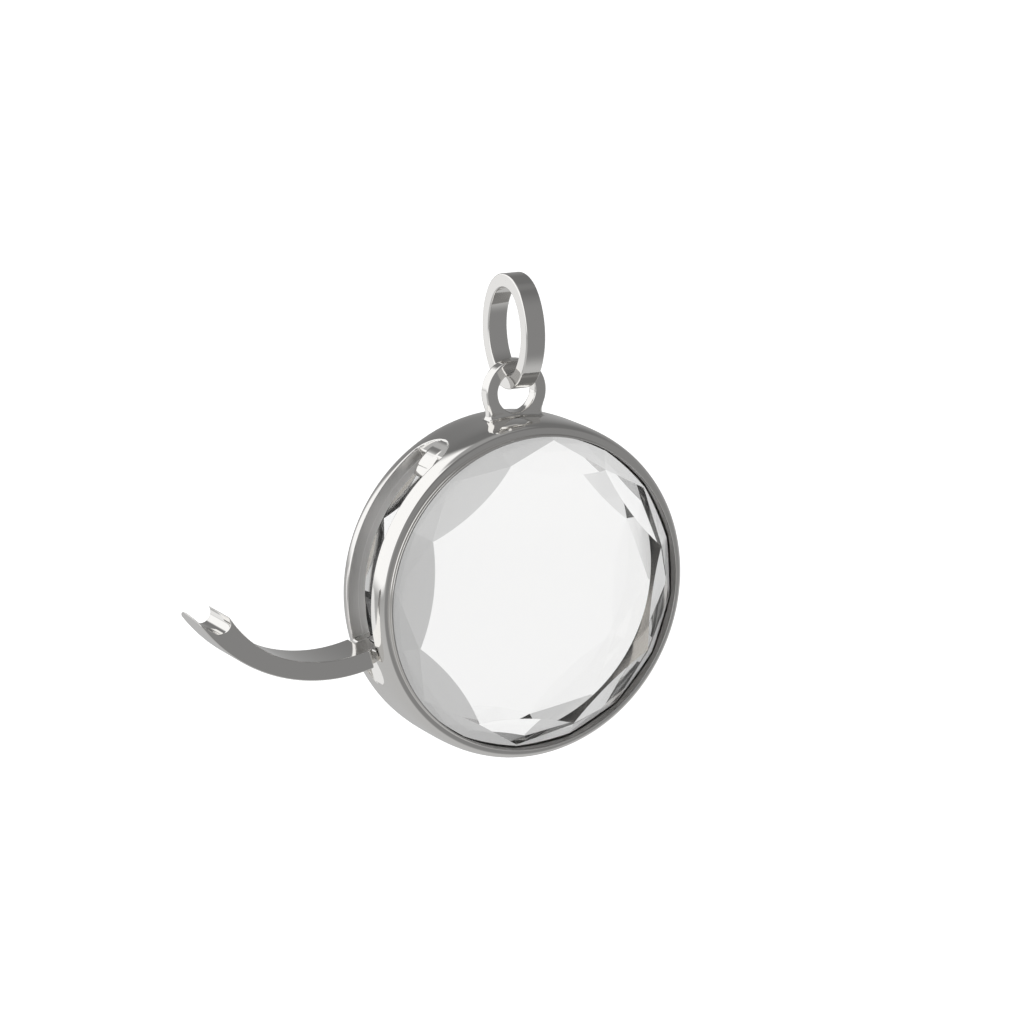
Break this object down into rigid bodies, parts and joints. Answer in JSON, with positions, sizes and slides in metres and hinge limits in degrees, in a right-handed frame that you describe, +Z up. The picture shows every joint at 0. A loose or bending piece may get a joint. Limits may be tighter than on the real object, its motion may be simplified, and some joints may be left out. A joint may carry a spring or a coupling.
{
  "type": "floating locket",
  "caption": "Round pendant locket with a faceted clear crystal in front and back, a hinged gate standing open in its side, and an oval bail on a small ring.",
  "frame": {"origin": "inside top of the bail, where a chain runs through it; the locket hangs below", "axes": "+Z up, -Y out of the front crystal towards the viewer, +X to the viewer's right; the gate opens towards -X"},
  "size_m": [0.0383, 0.011, 0.0353],
  "materials": {
    "white_metal": "mirror-polished white precious metal",
    "crystal": "clear, cut and polished"
  },
  "bodies": {
    "bail": {"bail": "white_metal"},
    "locket": {"rim": "white_metal", "crystal_front": "crystal", "crystal_back": "crystal", "hinge_pin": "white_metal"},
    "gate": {"gate": "white_metal"}
  },
  "joints": [
    {"name": "locket_swing", "type": "hinge", "parent": "bail", "child": "locket", "pos_m": [0, 0, -0.00441], "axis": [1, 0, 0], "range_deg": [-75, 75]},
    {"name": "gate_hinge", "type": "hinge", "parent": "locket", "child": "gate", "pos_m": [-0.01138, 0, -0.0253], "axis": [0, 1, 0], "range_deg": [0, 92.5]}
  ]
}
